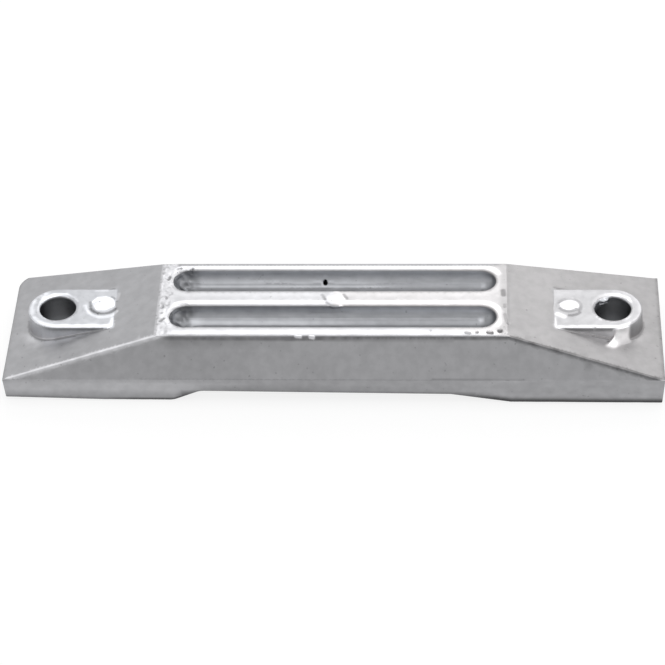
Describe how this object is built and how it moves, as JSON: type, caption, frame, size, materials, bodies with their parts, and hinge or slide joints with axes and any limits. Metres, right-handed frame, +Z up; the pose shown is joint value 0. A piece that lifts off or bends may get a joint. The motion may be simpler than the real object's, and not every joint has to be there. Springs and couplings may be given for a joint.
{
  "type": "sacrificial anode",
  "caption": "Hip-ended cast metal bar with a bolt lug near each end, lengthwise grooves in its flat top and a relieved underside; it corrodes in place of the fittings it is bolted to.",
  "frame": {"origin": "middle of the bar, on the plane that its feet stand on", "axes": "+X along the bar towards the foot with the long ramp, +Y to the back, +Z up out of the grooved top"},
  "size_m": [0.165, 0.039, 0.0178],
  "materials": {
    "anode_metal": "as die cast: satin grey skin, bright on the flats, matt and mottled by metal flow, with small pits"
  },
  "bodies": {
    "root": {"anode": "anode_metal"}
  },
  "joints": []
}
